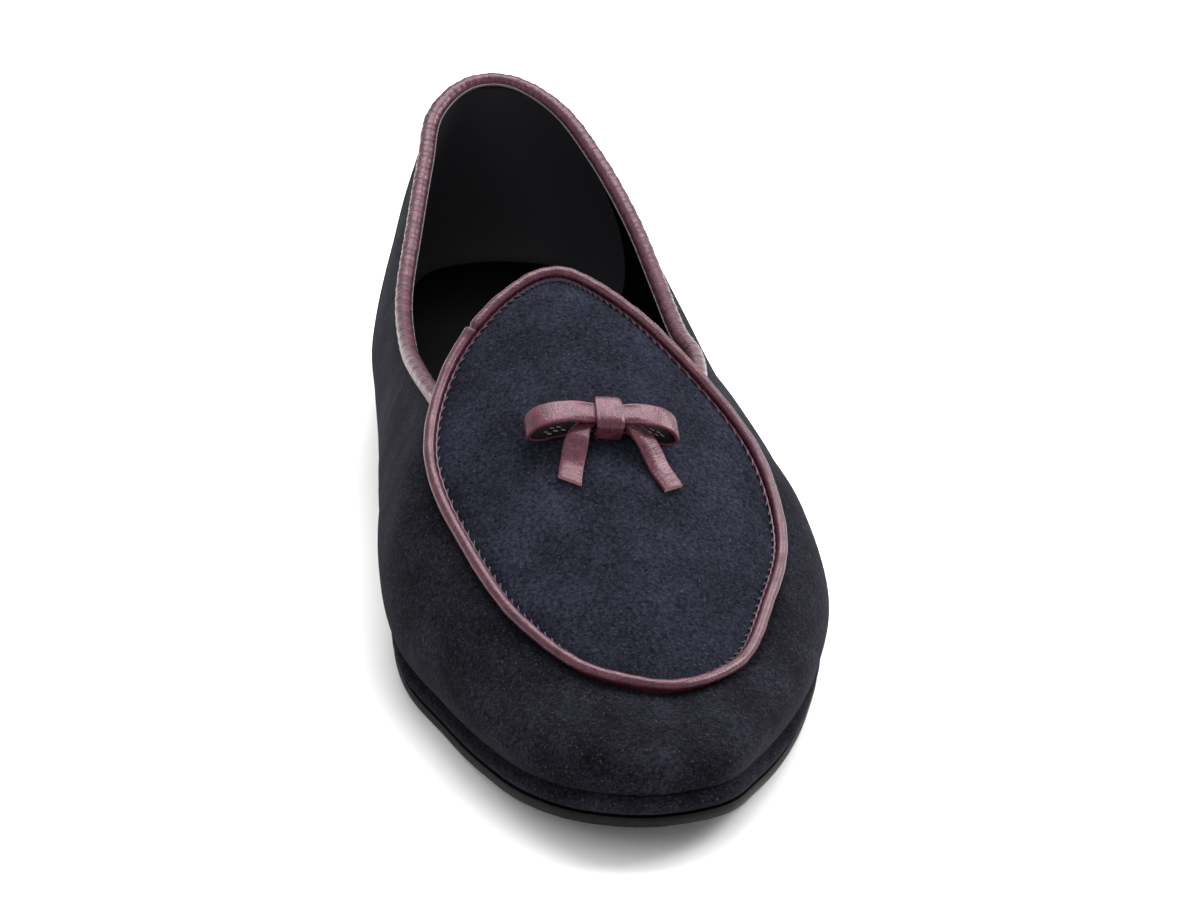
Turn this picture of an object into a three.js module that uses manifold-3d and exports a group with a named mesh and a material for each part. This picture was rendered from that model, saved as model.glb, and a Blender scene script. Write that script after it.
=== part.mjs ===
import * as THREE from "three";
import { mergeVertices } from "three/addons/utils/BufferGeometryUtils.js";
import Module from "manifold-3d";

// A slipper loafer in navy suede with a piped egg-shaped plug and a small leather bow: the left shoe of
// a pair. Lengths are in millimetres. The origin is the middle of the heel's ground face, +X is the outer
// side of the foot, +Y points to the back and +Z up, so the toe lies towards -Y.

// The bottom of the shoe
const soleLength = 288;
const ballWidth = 100;
const waistWidth = 74;
const heelWidth = 64;
const heelHeight = 13;
const heelLength = 64;
const heelTaper = 2; // the ground face lies in from the sole's edge by this
const toeSpring = 8.5;
const outsoleThickness = 2.5;
const midsoleThickness = 4.5;
const insoleThickness = 3;

// The upper above the midsole
const wall = 1.7; // suede and lining together
const backHeight = 54; // of the collar at the heel
const instepHeight = 66; // of the plug at the tongue's tip
const fullness = 10; // how far the vamp and quarters swell over the sole
const wallInset = 1.2; // of the wall's foot from the sole's edge

// Trim in folded leather
const pipingWidth = 2.7;
const pipingHeight = 2.3;
const flange = 0.6; // the piping's sewn-in edge, between plug and vamp
const bindingLeather = 0.75;
const bindingDepth = 2.8; // how far the topline binding reaches down the wall
const bowAlong = 0.664; // share of the sole's length
const bowOff = 2; // from the shoe's middle line, to the outer side
const bowTurn = 1.5; // degrees, its outer loop lies nearer to the toe
const bowSpan = 32.8; // over both loops
const innerLoopShare = 0.535; // of the span, on the inner side of the knot
const bowStrap = 5.5; // width of the bow's strap
const bowLeather = 1.2;
const loopHeight = 5.8; // outside height of a bow loop
const loopSag = 1.2; // the loops' ends hang down by this
const knotWidth = 5.4;
const knotLeather = 1;

const clearance = 0.3;

// The sole's edge from the back of the heel to the toe. along is a share of soleLength from the back,
// outer and inner are shares of the size named in width, measured from the middle line.
const soleRows = [
  { along: 0.018, outer: 0.29, inner: 0.27, width: heelWidth },
  { along: 0.065, outer: 0.43, inner: 0.4, width: heelWidth },
  { along: 0.14, outer: 0.51, inner: 0.52, width: heelWidth },
  { along: 0.23, outer: 0.54, inner: 0.56, width: heelWidth },
  { along: 0.33, outer: 0.51, inner: 0.47, width: waistWidth },
  { along: 0.43, outer: 0.58, inner: 0.475, width: waistWidth },
  { along: 0.52, outer: 0.485, inner: 0.385, width: ballWidth },
  { along: 0.61, outer: 0.53, inner: 0.445, width: ballWidth },
  { along: 0.7, outer: 0.515, inner: 0.45, width: ballWidth },
  { along: 0.785, outer: 0.445, inner: 0.39, width: ballWidth },
  { along: 0.865, outer: 0.355, inner: 0.33, width: ballWidth },
  { along: 0.93, outer: 0.255, inner: 0.262, width: ballWidth },
  { along: 0.98, outer: 0.155, inner: 0.153, width: ballWidth },
];
const toeOff = -0.012; // the toe's tip from the middle line, share of ballWidth

// Height of the sole's underside: heel is a share of heelHeight, toe a share of toeSpring.
const undersideRows = [
  { along: 0, heel: 1.04, toe: 0 },
  { along: 0.12, heel: 1, toe: 0 },
  { along: 0.24, heel: 0.95, toe: 0 },
  { along: 0.4, heel: 0.5, toe: 0 },
  { along: 0.52, heel: 0.12, toe: 0 },
  { along: 0.6, heel: 0, toe: 0 },
  { along: 0.72, heel: 0, toe: 0 },
  { along: 0.8, heel: 0, toe: 0.08 },
  { along: 0.88, heel: 0, toe: 0.34 },
  { along: 0.94, heel: 0, toe: 0.62 },
  { along: 1, heel: 0, toe: 1 },
];

// The crown of the vamp: ridge is its height over the midsole as a share of instepHeight, and
// round is its radius across the foot as a share of ballWidth.
const crownRows = [
  { along: 0.4, ridge: 1.04, round: 0.3 },
  { along: 0.46, ridge: 1.01, round: 0.32 },
  { along: 0.52, ridge: 0.97, round: 0.36 },
  { along: 0.58, ridge: 0.91, round: 0.4 },
  { along: 0.64, ridge: 0.825, round: 0.42 },
  { along: 0.7, ridge: 0.71, round: 0.43 },
  { along: 0.76, ridge: 0.59, round: 0.435 },
  { along: 0.82, ridge: 0.45, round: 0.44 },
  { along: 0.88, ridge: 0.305, round: 0.45 },
  { along: 0.94, ridge: 0.16, round: 0.46 },
  { along: 1, ridge: 0, round: 0.46 },
];
const ridgeOff = -0.02; // the ridge from the middle line at the ball, share of ballWidth
const ridgeAt = 0.65;

// The plug's seam, from the tongue's tip round the outer side: across is a share of ballWidth.
const plugRows = [
  { along: 0.487, across: -0.02 },
  { along: 0.508, across: 0.085 },
  { along: 0.55, across: 0.215 },
  { along: 0.628, across: 0.375 },
  { along: 0.712, across: 0.403 },
  { along: 0.793, across: 0.33 },
  { along: 0.866, across: 0.225 },
  { along: 0.902, across: 0.065 },
  { along: 0.885, across: -0.095 },
  { along: 0.824, across: -0.225 },
  { along: 0.742, across: -0.313 },
  { along: 0.635, across: -0.365 },
  { along: 0.55, across: -0.283 },
  { along: 0.5, across: -0.13 },
];

// The topline from the outer end of the plug seam round the heel to the inner end: across is a share
// of heelWidth, up a share of backHeight over the midsole.
const collarRows = [
  { along: 0.47, across: 0.5, up: 0.78 },
  { along: 0.4, across: 0.495, up: 0.67 },
  { along: 0.3, across: 0.49, up: 0.61 },
  { along: 0.2, across: 0.455, up: 0.68 },
  { along: 0.11, across: 0.37, up: 0.81 },
  { along: 0.045, across: 0.26, up: 0.92 },
  { along: 0.016, across: 0.12, up: 0.99 },
  { along: 0.01, across: 0, up: 1.01 },
  { along: 0.016, across: -0.12, up: 0.99 },
  { along: 0.045, across: -0.245, up: 0.92 },
  { along: 0.11, across: -0.32, up: 0.81 },
  { along: 0.2, across: -0.41, up: 0.68 },
  { along: 0.3, across: -0.5, up: 0.59 },
  { along: 0.4, across: -0.535, up: 0.66 },
  { along: 0.47, across: -0.54, up: 0.78 },
];

// How the wall swells over the sole: outer and inner are shares of fullness on each side of the foot.
// outerRise and innerRise say how high on the wall that happens, as shares of its height.
const swellRows = [
  { along: 0, outer: 0.8, inner: 0.8, outerRise: 0.32, innerRise: 0.32 },
  { along: 0.12, outer: 0.85, inner: 0.35, outerRise: 0.36, innerRise: 0.26 },
  { along: 0.3, outer: 1.5, inner: 1.3, outerRise: 0.46, innerRise: 0.26 },
  { along: 0.5, outer: 1.5, inner: 1.75, outerRise: 0.4, innerRise: 0.4 },
  { along: 0.65, outer: 1, inner: 1.1, outerRise: 0.32, innerRise: 0.32 },
  { along: 0.8, outer: 1, inner: 1.2, outerRise: 0.38, innerRise: 0.38 },
  { along: 0.93, outer: 0.8, inner: 0.8, outerRise: 0.42, innerRise: 0.42 },
  { along: 1, outer: 0.6, inner: 0.6, outerRise: 0.4, innerRise: 0.4 },
];

// The middle line of a bow loop from the pinch at its foot round its end to the pinch on top: across is
// a share of that loop's reach from the knot, up a share of loopHeight.
const loopRows = [
  { across: 0, up: 0.1 },
  { across: 0.25, up: 0.1 },
  { across: 0.6, up: 0.1 },
  { across: 0.87, up: 0.19 },
  { across: 0.965, up: 0.51 },
  { across: 0.88, up: 0.85 },
  { across: 0.68, up: 0.95 },
  { across: 0.4, up: 0.82 },
  { across: 0.2, up: 0.65 },
  { across: 0, up: 0.62 },
];
// Middle lines of the bow's two tails from the bow's middle, as shares of bowStrap: first across the
// foot, then to the back.
const tailRows = [
  { start: [0, 0], bend: [-1.2, 0.2], end: [-1.73, -2.6] },
  { start: [0, 0], bend: [0.95, 0.2], end: [2.5, -2.52] },
];

const seamPull = 0.18; // how far the wall follows the crown from the seam, share of its height
const collarLean = 0.34; // how far the topline leans inwards, run over rise

// Where the topline leaves the plug seam, as shares of the sole's edge and of the seam.
const junctionAtEdge = 0.27;
const junctionAtSeam = 0.17;
const junctionBlend = 0.1;

// How finely the round surfaces are divided
const stepsAround = 100;
const stepsUp = 8;
const stepsAroundHeel = 12;
const stepsAlongPlug = 28;
const stepsAcrossPlug = 8;
const stepsAroundTongue = 24;
const stepsAroundLoops = 56;
const beadPoints = 9;

const suede = { color: 0x20242d, roughness: 0.95, metalness: 0 };
const plugSuede = { color: 0x262c3a, roughness: 0.95, metalness: 0 };
const burgundy = { color: 0x5e3540, roughness: 0.42, metalness: 0 };
const soleLeather = { color: 0x141416, roughness: 0.5, metalness: 0 };
const lining = { color: 0x17171a, roughness: 0.45, metalness: 0 };

// Reads one column of a table between its rows. The slopes never overshoot a row.
function reader(rows, column) {
  const at = rows.map((row) => row.along);
  const value = rows.map((row) => row[column]);
  const rise = at.slice(1).map((end, i) => (value[i + 1] - value[i]) / (end - at[i]));
  const slope = at.map((_, i) => {
    if (i === 0) return rise[0];
    if (i === rise.length) return rise[i - 1];
    const product = rise[i - 1] * rise[i];
    return product > 0 ? (2 * product) / (rise[i - 1] + rise[i]) : 0;
  });
  return (along) => {
    const last = at.length - 1;
    const place = THREE.MathUtils.clamp(along, at[0], at[last]);
    const i = Math.min(at.filter((start) => start <= place).length, last) - 1;
    const span = at[i + 1] - at[i];
    const s = (place - at[i]) / span;
    const out = (1 + 2 * s) * (1 - s) ** 2 * value[i] + s * (1 - s) ** 2 * span * slope[i];
    return out + s * s * (3 - 2 * s) * value[i + 1] + s * s * (s - 1) * span * slope[i + 1];
  };
}

const heelShare = reader(undersideRows, "heel");
const toeShare = reader(undersideRows, "toe");
const ridgeShare = reader(crownRows, "ridge");
const roundShare = reader(crownRows, "round");
const outerSwell = reader(swellRows, "outer");
const innerSwell = reader(swellRows, "inner");
const outerRise = reader(swellRows, "outerRise");
const innerRise = reader(swellRows, "innerRise");

const heelReach = (heelLength + heelTaper) / 2; // from the origin to the back edge of the sole
const yOf = (along) => heelReach - along * soleLength;
const alongOf = (y) => (heelReach - y) / soleLength;
const underside = (along) => heelHeight * heelShare(along) + toeSpring * toeShare(along);
const midsoleFoot = outsoleThickness + clearance;
const midsoleTop = midsoleFoot + midsoleThickness;
const seat = (along) => underside(along) + midsoleTop + clearance;

// Height of the crown over any place: the ridge, falling away across the foot as a round arch.
function crown(x, y) {
  const along = alongOf(y);
  const radius = ballWidth * roundShare(along);
  const off = x - ballWidth * ridgeOff * (1 - (along - ridgeAt));
  return seat(along) + instepHeight * ridgeShare(along) - (Math.hypot(radius, off) - radius);
}

// A place on the crown with the direction that faces out of it there.
function onCrown(x, y) {
  const step = 0.5;
  const normal = new THREE.Vector3(
    crown(x - step, y) - crown(x + step, y),
    crown(x, y - step) - crown(x, y + step),
    2 * step,
  ).normalize();
  return { point: new THREE.Vector3(x, y, crown(x, y)), normal };
}

const loop = (points) => new THREE.CatmullRomCurve3(points, true, "centripetal");
const soleEdge = loop([
  new THREE.Vector3(0, yOf(0), 0),
  ...soleRows.map((row) => new THREE.Vector3(row.outer * row.width, yOf(row.along), 0)),
  new THREE.Vector3(toeOff * ballWidth, yOf(1), 0),
  ...soleRows.toReversed().map((row) => new THREE.Vector3(-row.inner * row.width, yOf(row.along), 0)),
]);
const plugSeam = loop(plugRows.map((row) => new THREE.Vector3(row.across * ballWidth, yOf(row.along), 0)));

// A point of a level curve that runs back, outer side, toe, inner side, with the level direction out of it.
function edgePlace(curve, t) {
  const point = curve.getPoint(t);
  const ahead = curve.getTangent(t);
  const outward = new THREE.Vector3(-ahead.y, ahead.x, 0).normalize();
  return { point, ahead, outward, along: alongOf(point.y) };
}

// The seam raised onto the crown, shifted in or out along it.
function seamPlace(t, shift) {
  const { point, ahead, outward } = edgePlace(plugSeam, t);
  point.addScaledVector(outward, shift);
  return { ...onCrown(point.x, point.y), ahead, outward };
}

const topline = new THREE.CatmullRomCurve3(
  [
    seamPlace(junctionAtSeam, 0).point,
    ...collarRows.map(({ along, across, up }) => {
      return new THREE.Vector3(across * heelWidth, yOf(along), seat(along) + up * backHeight);
    }),
    seamPlace(1 - junctionAtSeam, 0).point,
  ],
  false,
  "centripetal",
);

// The upper edge of the wall over the place t of the sole's edge: on the plug seam in front, on the
// topline behind.
const seamGap = flange / 2 + clearance;
function wallTop(t, outward) {
  const front = t >= junctionAtEdge && t <= 1 - junctionAtEdge;
  if (front) {
    const share = (t - junctionAtEdge) / (1 - 2 * junctionAtEdge);
    return seamPlace(THREE.MathUtils.lerp(junctionAtSeam, 1 - junctionAtSeam, share), seamGap).point;
  }
  const fromHeel = t < 0.5 ? -t : 1 - t;
  return topline.getPoint((1 + fromHeel / junctionAtEdge) / 2).addScaledVector(outward, seamGap);
}

// One upright section of the upper's outer face, from its foot on the midsole to its upper edge. It
// starts out over the sole, and ends along the crown in front and leaning in at the topline.
function wallSection(t) {
  const { point, outward, along } = edgePlace(soleEdge, t);
  const foot = point.clone().addScaledVector(outward, -wallInset).setZ(seat(along));
  const top = wallTop(t, outward);
  const height = top.distanceTo(foot);
  const fall = crown(top.x + outward.x, top.y + outward.y) - crown(top.x, top.y);
  const alongCrown = outward.clone().setZ(fall).normalize();
  const upright = outward.clone().multiplyScalar(collarLean).setZ(-1).normalize();
  const past = Math.min(t, 1 - t) - junctionAtEdge;
  const front = THREE.MathUtils.smoothstep(past, -junctionBlend / 2, junctionBlend / 2);
  const leaving = upright.lerp(alongCrown, front).normalize();
  const swell = fullness * (t < 0.5 ? outerSwell(along) : innerSwell(along));
  const low = foot.clone().addScaledVector(outward, swell);
  low.z += height * (t < 0.5 ? outerRise(along) : innerRise(along));
  const high = top.clone().addScaledVector(leaving, height * seamPull);
  const out = past > -1e-6 ? onCrown(top.x, top.y).normal : null;
  return { curve: new THREE.CubicBezierCurve3(foot, low, high, top), outward, out };
}

// Joins rings of points into one closed surface, faces outwards. Without caps the last ring meets the
// first.
function skin(rings, caps) {
  const count = rings[0].length;
  const places = rings.flat();
  const faces = [];
  const quad = (a, b, c, d) => faces.push([a, b, c], [a, c, d]);
  const steps = caps ? rings.length - 1 : rings.length;
  for (let i = 0; i < steps; i++) {
    const next = (i + 1) % rings.length;
    for (let j = 0; j < count; j++) {
      const side = (j + 1) % count;
      quad(i * count + j, i * count + side, next * count + side, next * count + j);
    }
  }
  const lastRing = (rings.length - 1) * count;
  for (const [a, b, c] of caps ?? []) faces.push([c, b, a], [lastRing + a, lastRing + b, lastRing + c]);
  return closedGeometry(places, faces);
}

// A geometry from shared points and triangles, without the triangles that have shrunk to a line.
function closedGeometry(places, faces) {
  const same = (a, b) => places[a].distanceToSquared(places[b]) < 1e-8;
  const kept = faces.filter(([a, b, c]) => !same(a, b) && !same(b, c) && !same(c, a));
  const cross = new THREE.Vector3();
  const tetra = ([a, b, c]) => places[a].dot(cross.crossVectors(places[b], places[c]));
  const volume = kept.reduce((sum, face) => sum + tetra(face), 0);
  const turned = volume < 0 ? kept.map(([a, b, c]) => [a, c, b]) : kept;
  const geometry = new THREE.BufferGeometry().setFromPoints(places);
  geometry.setIndex(turned.flat());
  return mergeVertices(geometry, 1e-4);
}

// Triangles across a ring that runs down one side and back up the other.
function ladder(count) {
  const faces = [];
  for (let i = 0; i < Math.floor(count / 2); i++) {
    const far = (count - i) % count;
    faces.push([i, i + 1, count - i - 1], [i, count - i - 1, far]);
  }
  return faces.filter(([a, b, c]) => a !== b && b !== c && c !== a);
}

// A layer of the bottom: each level is a ring of the sole's edge, moved in by inset, at the height that
// heightOf gives for its share along the shoe.
function layer(stations, levels) {
  const rings = levels.map(({ inset, heightOf }) =>
    stations.map((t) => {
      const { point, outward, along } = edgePlace(soleEdge, t);
      return point.addScaledVector(outward, -inset).setZ(heightOf(along));
    }),
  );
  return skin(rings, ladder(stations.length));
}

const allRound = Array.from({ length: stepsAround }, (_, i) => i / stepsAround);
const over = (height) => (along) => underside(along) + height;

// Cut sole leather, its lower corner rounded.
function outsole() {
  return layer(allRound, [
    { inset: 1, heightOf: over(0) },
    { inset: 0.3, heightOf: over(0.3 * outsoleThickness) },
    { inset: 0, heightOf: over(0.6 * outsoleThickness) },
    { inset: 0.3, heightOf: over(outsoleThickness) },
  ]);
}

// A soft midsole wrapped in the upper's suede: its side is a plump roll that draws in under the wall.
function midsole() {
  const rollRows = [
    { inset: 1.2, up: 0 },
    { inset: 0.1, up: 0.22 },
    { inset: -0.5, up: 0.5 },
    { inset: 0, up: 0.8 },
    { inset: 1.6, up: 1 },
  ];
  return layer(
    allRound,
    rollRows.map(({ inset, up }) => ({ inset, heightOf: over(midsoleFoot + up * midsoleThickness) })),
  );
}

function insole() {
  const inset = wallInset + wall + clearance;
  const foot = midsoleTop + clearance;
  return layer(allRound, [
    { inset, heightOf: over(foot) },
    { inset, heightOf: over(foot + 0.7 * insoleThickness) },
    { inset: inset + 1, heightOf: over(foot + insoleThickness) },
  ]);
}

// A stacked heel block with a level ground face. Its front face is cut straight across.
function heel() {
  const heelEnd = heelLength / soleLength;
  let [breast, beyond] = [0, 0.5];
  for (let i = 0; i < 30; i++) {
    const middle = (breast + beyond) / 2;
    if (edgePlace(soleEdge, middle).along < heelEnd) breast = middle;
    else beyond = middle;
  }
  const back = Array.from({ length: stepsAroundHeel + 1 }, (_, i) => (breast * i) / stepsAroundHeel);
  const stations = [...back, ...back.slice(1).toReversed().map((t) => 1 - t)];
  return layer(stations, [
    { inset: heelTaper, heightOf: () => 0 },
    { inset: 0.7 * heelTaper, heightOf: () => 0.06 * heelHeight },
    { inset: 0.8, heightOf: over(-clearance) },
  ]);
}

// The hollow upper without its plug: a wall of even thickness, open below, at the collar and at the plug.
function upper() {
  const stations = Array.from({ length: stepsAround }, (_, i) => wallSection(i / stepsAround));
  const outer = stations.map(({ curve }) => curve.getPoints(stepsUp));
  const rings = outer.map((section, i) => {
    const before = outer.at(i - 1);
    const after = outer[(i + 1) % stepsAround];
    const inner = section.map((point, j) => {
      if (j === 0) return point.clone().addScaledVector(stations[i].outward, -wall);
      if (j === stepsUp && stations[i].out) return point.clone().addScaledVector(stations[i].out, -wall);
      const round = after[j].clone().sub(before[j]);
      const rise = section[Math.min(j + 1, stepsUp)].clone().sub(section[j - 1]);
      return point.clone().addScaledVector(round.cross(rise).normalize(), wall);
    });
    return [...section, ...inner.toReversed()];
  });
  return skin(rings);
}

// The plug: the crown inside the seam. Its back part is a tongue that stands free over the foot opening.
function plug() {
  const rings = [];
  for (let i = 0; i <= stepsAlongPlug; i++) {
    const t = (0.5 * i) / stepsAlongPlug;
    const outer = seamPlace(t, -seamGap).point;
    const inner = seamPlace(i === 0 ? 0 : 1 - t, -seamGap).point;
    const face = Array.from({ length: stepsAcrossPlug + 1 }, (_, j) => {
      const place = outer.clone().lerp(inner, j / stepsAcrossPlug);
      return onCrown(place.x, place.y);
    });
    const below = face.map(({ point, normal }) => point.clone().addScaledVector(normal, -wall));
    rings.push([...face.map(({ point }) => point), ...below.toReversed()]);
  }
  return skin(rings, []);
}

// Carries a flat section along a row of frames: x along out, y along up.
const sweep = (frames, section, caps) =>
  skin(
    frames.map(({ point, out, up }) =>
      section.map(([x, y]) => point.clone().addScaledVector(out, x).addScaledVector(up, y)),
    ),
    caps,
  );

// The seam's frames stand where the upper's own sections do, and go on round the tongue.
const frontSteps = Math.round((1 - 2 * junctionAtEdge) * stepsAround);
const between = (from, to, steps) => {
  return Array.from({ length: steps }, (_, i) => THREE.MathUtils.lerp(from, to, i / steps) % 1);
};
const seamStations = [
  ...between(junctionAtSeam, 1 - junctionAtSeam, frontSteps),
  ...between(1 - junctionAtSeam, 1 + junctionAtSeam, stepsAroundTongue),
];
const seamFrames = seamStations.map((t) => {
  const { point, normal, outward } = seamPlace(t, 0);
  const out = outward.clone().addScaledVector(normal, -outward.dot(normal)).normalize();
  return { point, out, up: normal };
});

// A folded strip of leather: a round bead over the seam and a thin edge that is sewn between plug and vamp.
function plugPiping() {
  const half = pipingWidth / 2;
  const neck = clearance;
  const bead = Array.from({ length: beadPoints }, (_, i) => {
    const turn = THREE.MathUtils.degToRad(THREE.MathUtils.lerp(-60, 240, i / (beadPoints - 1)));
    return [half * Math.cos(turn), neck + (pipingHeight / 2) * (1 + Math.sin(turn))];
  });
  const deep = -0.9 * wall;
  const edge = flange / 2;
  return sweep(seamFrames, [[edge, deep], [edge, neck], ...bead, [-edge, neck], [-edge, deep]]);
}

// The room that the plug and its piping take beside the topline binding.
function seamRoom() {
  const reach = pipingWidth / 2 + clearance;
  const section = [
    [reach, -3 * wall],
    [reach, pipingHeight + 2 * clearance],
    [-2 * reach, pipingHeight + 2 * clearance],
    [-2 * reach, -3 * wall],
  ];
  return sweep(seamFrames, section);
}

// A strip of leather folded over the raw edge of the collar, from seam to seam round the heel.
function toplineBinding() {
  const steps = Math.round(junctionAtEdge * stepsAround);
  const frames = [];
  for (let i = steps; i >= -steps; i--) {
    const t = (i / stepsAround + 1) % 1;
    const { curve } = wallSection(t);
    const edge = curve.getPoint(1);
    const beside = wallSection((t + 0.001) % 1).curve.getPoint(1);
    const ahead = beside.sub(edge).normalize();
    const up = edge.clone().sub(curve.getPoint(1 - 1 / stepsUp)).normalize();
    const out = new THREE.Vector3().crossVectors(up, ahead).normalize();
    frames.push({ point: edge.addScaledVector(out, -wall / 2), out, up });
  }
  const gap = wall / 2 + clearance;
  const half = gap + bindingLeather;
  const top = clearance + bindingLeather;
  const section = [
    [half, -bindingDepth],
    [half, 0.3 * top],
    [0.7 * half, 0.9 * top],
    [0, 1.15 * top],
    [-0.7 * half, 0.9 * top],
    [-half, 0.3 * top],
    [-half, -bindingDepth],
    [-gap, -bindingDepth],
    [-gap, clearance],
    [gap, clearance],
    [gap, -bindingDepth],
  ];
  const flat = section.map(([x, y]) => new THREE.Vector2(x, y));
  return cut(sweep(frames, section, THREE.ShapeUtils.triangulateShape(flat, [])), seamRoom());
}

const wasm = await Module();
wasm.setup();

function solidOf(geometry) {
  const bare = new THREE.BufferGeometry().setAttribute("position", geometry.getAttribute("position"));
  bare.setIndex(geometry.index);
  const merged = mergeVertices(bare, 1e-4);
  return new wasm.Manifold(
    new wasm.Mesh({
      numProp: 3,
      vertProperties: merged.getAttribute("position").array,
      triVerts: new Uint32Array(merged.index.array),
    }),
  );
}

function geometryOf(solid) {
  const mesh = solid.getMesh();
  const geometry = new THREE.BufferGeometry();
  geometry.setAttribute("position", new THREE.BufferAttribute(mesh.vertProperties, 3));
  geometry.setIndex(new THREE.BufferAttribute(mesh.triVerts, 1));
  return geometry;
}

// Cuts one shape out of another and keeps the largest piece that is left.
function cut(geometry, room) {
  const left = solidOf(geometry).subtract(solidOf(room)).decompose();
  return geometryOf(left.reduce((a, b) => (a.volume() > b.volume() ? a : b)));
}

// Turns a part of the bow and bends it onto the plug: x across the foot, y towards the heel from the bow's
// middle, z out of the plug.
function ontoPlug(geometry) {
  geometry.deleteAttribute("normal");
  geometry.deleteAttribute("uv");
  geometry.rotateZ(-THREE.MathUtils.degToRad(bowTurn));
  const shape = mergeVertices(geometry, 1e-4);
  const position = shape.getAttribute("position");
  for (let i = 0; i < position.count; i++) {
    const { point, normal } = onCrown(bowOff + position.getX(i), yOf(bowAlong) + position.getY(i));
    point.addScaledVector(normal, position.getZ(i));
    position.setXYZ(i, point.x, point.y, point.z);
  }
  return shape;
}

// The bow stands on the underside of its knot. The loops lie on that, and the tails pass through them.
const loopFoot = clearance + knotLeather + clearance;
const tailFoot = loopFoot + loopRows[0].up * loopHeight + bowLeather / 2 + clearance;
const pinch = loopRows.at(-1).up * loopHeight + bowLeather / 2;

// Extrudes a shape drawn across and out of the plug by a width along the foot, centred.
function strapAlongFoot(shape, width, steps) {
  const geometry = new THREE.ExtrudeGeometry(shape, { depth: width, bevelEnabled: false, steps });
  return geometry.rotateX(Math.PI / 2).translate(0, width / 2, 0);
}

// Both loops of the bow are one closed strap: two open eyes that face the toe, pinched together in the
// middle.
function bowLoops() {
  const at = ({ across, up }, side) => {
    const reach = bowSpan * (side > 0 ? 1 - innerLoopShare : innerLoopShare);
    return new THREE.Vector3(side * across * reach, 0, loopFoot + up * loopHeight - loopSag * across ** 2);
  };
  const path = loop([
    ...loopRows.map((row) => at(row, 1)),
    ...loopRows.slice(1, -1).toReversed().map((row) => at(row, -1)),
  ]);
  const rings = Array.from({ length: stepsAroundLoops }, (_, i) => {
    const middle = path.getPoint(i / stepsAroundLoops);
    const ahead = path.getTangent(i / stepsAroundLoops);
    const thick = new THREE.Vector3(ahead.z, 0, -ahead.x).multiplyScalar(bowLeather / 2);
    const corner = (out, back) => middle.clone().addScaledVector(thick, out).setY((back * bowStrap) / 2);
    return [corner(1, 1), corner(1, -1), corner(-1, -1), corner(-1, 1)];
  });
  return ontoPlug(skin(rings));
}

// A short strap wound round loops and tails in the middle of the bow.
function bowKnot() {
  const half = bowStrap / 2 + 2 * clearance;
  const low = clearance + knotLeather;
  const high = loopFoot + pinch + clearance;
  const ring = (grow) => [
    [-half - grow, low - grow],
    [half + grow, low - grow],
    [half + grow, high],
    [half, high + 0.7 * grow],
    [0.4 * half, high + grow],
    [-0.4 * half, high + grow],
    [-half, high + 0.7 * grow],
    [-half - grow, high],
  ];
  const line = (points) => points.map(([x, z]) => new THREE.Vector2(x, z));
  const shape = new THREE.Shape(line(ring(knotLeather)));
  shape.holes.push(new THREE.Path(line([ring(0)[0], ring(0)[1], ring(0)[2], ring(0)[7]])));
  return ontoPlug(strapAlongFoot(shape, knotWidth, 4).rotateZ(Math.PI / 2));
}

// Two flat tails that leave the knot through the loops, turn to the toe over the lower strap, and come
// down onto the plug.
function bowTails() {
  const steps = 12;
  const tails = tailRows.map(({ start, bend, end }) => {
    const point = ([x, y]) => new THREE.Vector3(x * bowStrap, y * bowStrap, 0);
    const path = new THREE.QuadraticBezierCurve3(point(start), point(bend), point(end));
    const rings = Array.from({ length: steps + 1 }, (_, i) => {
      const middle = path.getPoint(i / steps);
      const ahead = path.getTangent(i / steps);
      const gather = THREE.MathUtils.lerp(0.5, 1, THREE.MathUtils.smoothstep(i / steps, 0.3, 0.75));
      const across = new THREE.Vector3(-ahead.y, ahead.x, 0).multiplyScalar((gather * bowStrap) / 2);
      const down = THREE.MathUtils.smoothstep(i / steps, 0.58, 0.88);
      const foot = THREE.MathUtils.lerp(tailFoot, clearance, down);
      const corner = (way, height) => middle.clone().addScaledVector(across, way).setZ(height);
      const top = foot + bowLeather;
      return [corner(1, foot), corner(-1, foot), corner(-1, top), corner(1, top)];
    });
    return solidOf(ontoPlug(skin(rings, ladder(4))));
  });
  return geometryOf(tails[0].add(tails[1]));
}

const root = new THREE.Group();
root.name = "slipper_loafer";

function add(name, geometry, look) {
  const mesh = new THREE.Mesh(geometry, new THREE.MeshStandardMaterial(look));
  mesh.name = name;
  root.add(mesh);
}

add("outsole", outsole(), soleLeather);
add("heel", heel(), soleLeather);
add("midsole", midsole(), suede);
add("insole", insole(), lining);
add("upper", upper(), suede);
add("plug", plug(), plugSuede);
add("plug_piping", plugPiping(), burgundy);
add("topline_binding", toplineBinding(), burgundy);
add("bow_loops", bowLoops(), burgundy);
add("bow_tails", bowTails(), burgundy);
add("bow_knot", bowKnot(), burgundy);

export default root;
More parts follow.
